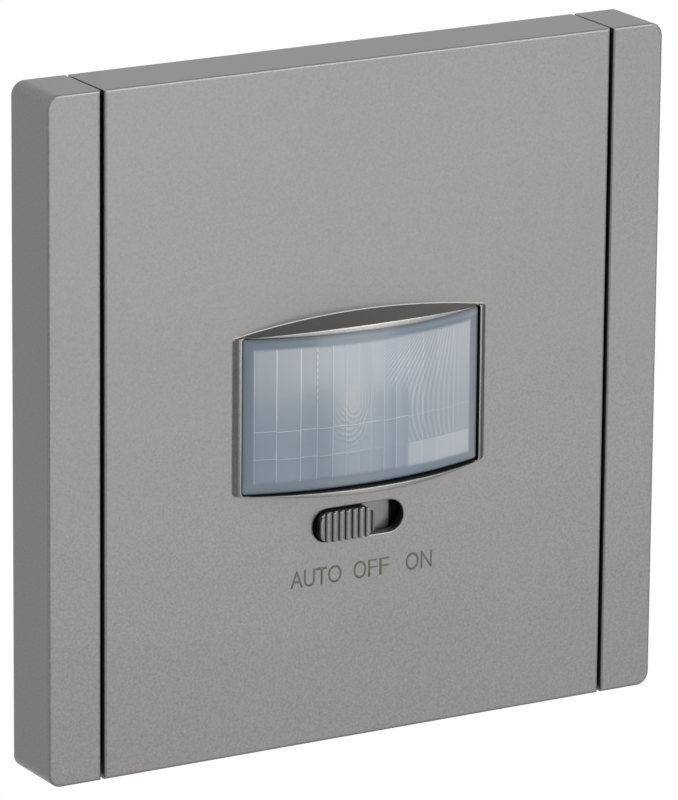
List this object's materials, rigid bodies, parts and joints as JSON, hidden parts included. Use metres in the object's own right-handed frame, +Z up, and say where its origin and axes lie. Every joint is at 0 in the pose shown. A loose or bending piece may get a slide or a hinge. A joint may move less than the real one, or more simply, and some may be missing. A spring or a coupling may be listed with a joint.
{
  "type": "motion sensor light switch",
  "caption": "Square wall plate with a grooved centre cover, a bulging segmented motion sensor lens in a bezel and a small slide knob, with its module for the wall box behind.",
  "frame": {"origin": "centre of the plate's back face, on the wall, midway between the two fixing screws", "axes": "+X to the right and +Z up as the switch is seen on the wall; +Y into the wall, so the front faces -Y"},
  "size_m": [0.09, 0.0412, 0.09],
  "materials": {
    "satin_grey": "satin metallic coating on moulded plastic",
    "milky_lens": "translucent moulded polyethylene",
    "frame_grey": "moulded glass-filled plastic",
    "housing_grey": "moulded flame-retardant plastic",
    "cover_black": "moulded black plastic",
    "dial_white": "moulded white plastic",
    "zinc_steel": "zinc-plated steel",
    "sensor_steel": "nickel-plated steel",
    "terminal_brass": "plain brass",
    "board_green": "solder-masked laminate",
    "chip_black": "epoxy moulding",
    "tinned_metal": "tinned metal",
    "filter_dark": "dark filter window",
    "lamp_red": "tinted epoxy",
    "lamp_clear": "clear epoxy",
    "relay_blue": "moulded plastic",
    "film_yellow": "potted plastic box",
    "sleeve_dark": "shrink sleeve on aluminium",
    "varistor_blue": "dipped epoxy",
    "fuse_brown": "moulded plastic",
    "ferrite": "sintered ferrite",
    "resistor_beige": "lacquered resistor"
  },
  "bodies": {
    "switch": {"support_frame": "frame_grey", "left_side_strip": "satin_grey", "right_side_strip": "satin_grey", "fixing_screws": "zinc_steel", "fresnel_lens": "milky_lens", "slide_switch_can": "sensor_steel", "slide_switch_base": "fuse_brown", "slide_switch_tails": "tinned_metal", "module_cover": "cover_black", "rear_housing": "housing_grey", "housing_screws": "zinc_steel", "sensor_board": "board_green", "heat_sensor_can": "sensor_steel", "heat_sensor_window": "filter_dark", "heat_sensor_leads": "tinned_metal", "status_lamp": "lamp_red", "light_sensor": "lamp_clear", "time_trimmer": "varistor_blue", "light_level_trimmer": "varistor_blue", "range_trimmer": "varistor_blue", "controller_chip": "chip_black", "amplifier_chip": "chip_black", "sensor_board_resistors": "chip_black", "sensor_board_capacitors": "sleeve_dark", "board_link": "chip_black", "power_board": "board_green", "relay": "relay_blue", "smoothing_capacitor": "sleeve_dark", "film_capacitor": "film_yellow", "varistor": "varistor_blue", "fuse": "fuse_brown", "choke": "ferrite", "rectifier": "chip_black", "power_resistors": "resistor_beige", "terminal_cages": "terminal_brass", "terminal_screws": "zinc_steel"},
    "front_cover": {"front_panel": "satin_grey"},
    "slide": {"mode_knob": "satin_grey", "switch_lever": "cover_black"},
    "time_setting": {"time_dial": "dial_white"},
    "light_level_setting": {"light_level_dial": "dial_white"},
    "range_setting": {"range_dial": "dial_white"}
  },
  "joints": [
    {"name": "mode_slide", "type": "slide", "parent": "switch", "child": "slide", "axis": [1, 0, 0], "range_m": [0, 0.0044]},
    {"name": "time_turn", "type": "hinge", "parent": "switch", "child": "time_setting", "pos_m": [-0.0115, -0.0078, 0.0196], "axis": [0, -1, 0], "range_deg": [0, 270]},
    {"name": "light_level_turn", "type": "hinge", "parent": "switch", "child": "light_level_setting", "pos_m": [0, -0.0078, 0.0196], "axis": [0, -1, 0], "range_deg": [0, 270]},
    {"name": "range_turn", "type": "hinge", "parent": "switch", "child": "range_setting", "pos_m": [0.0115, -0.0078, 0.0196], "axis": [0, -1, 0], "range_deg": [0, 270]},
    {"name": "cover_release", "type": "slide", "parent": "switch", "child": "front_cover", "axis": [0, -1, 0], "range_m": [0, 0.03]}
  ]
}
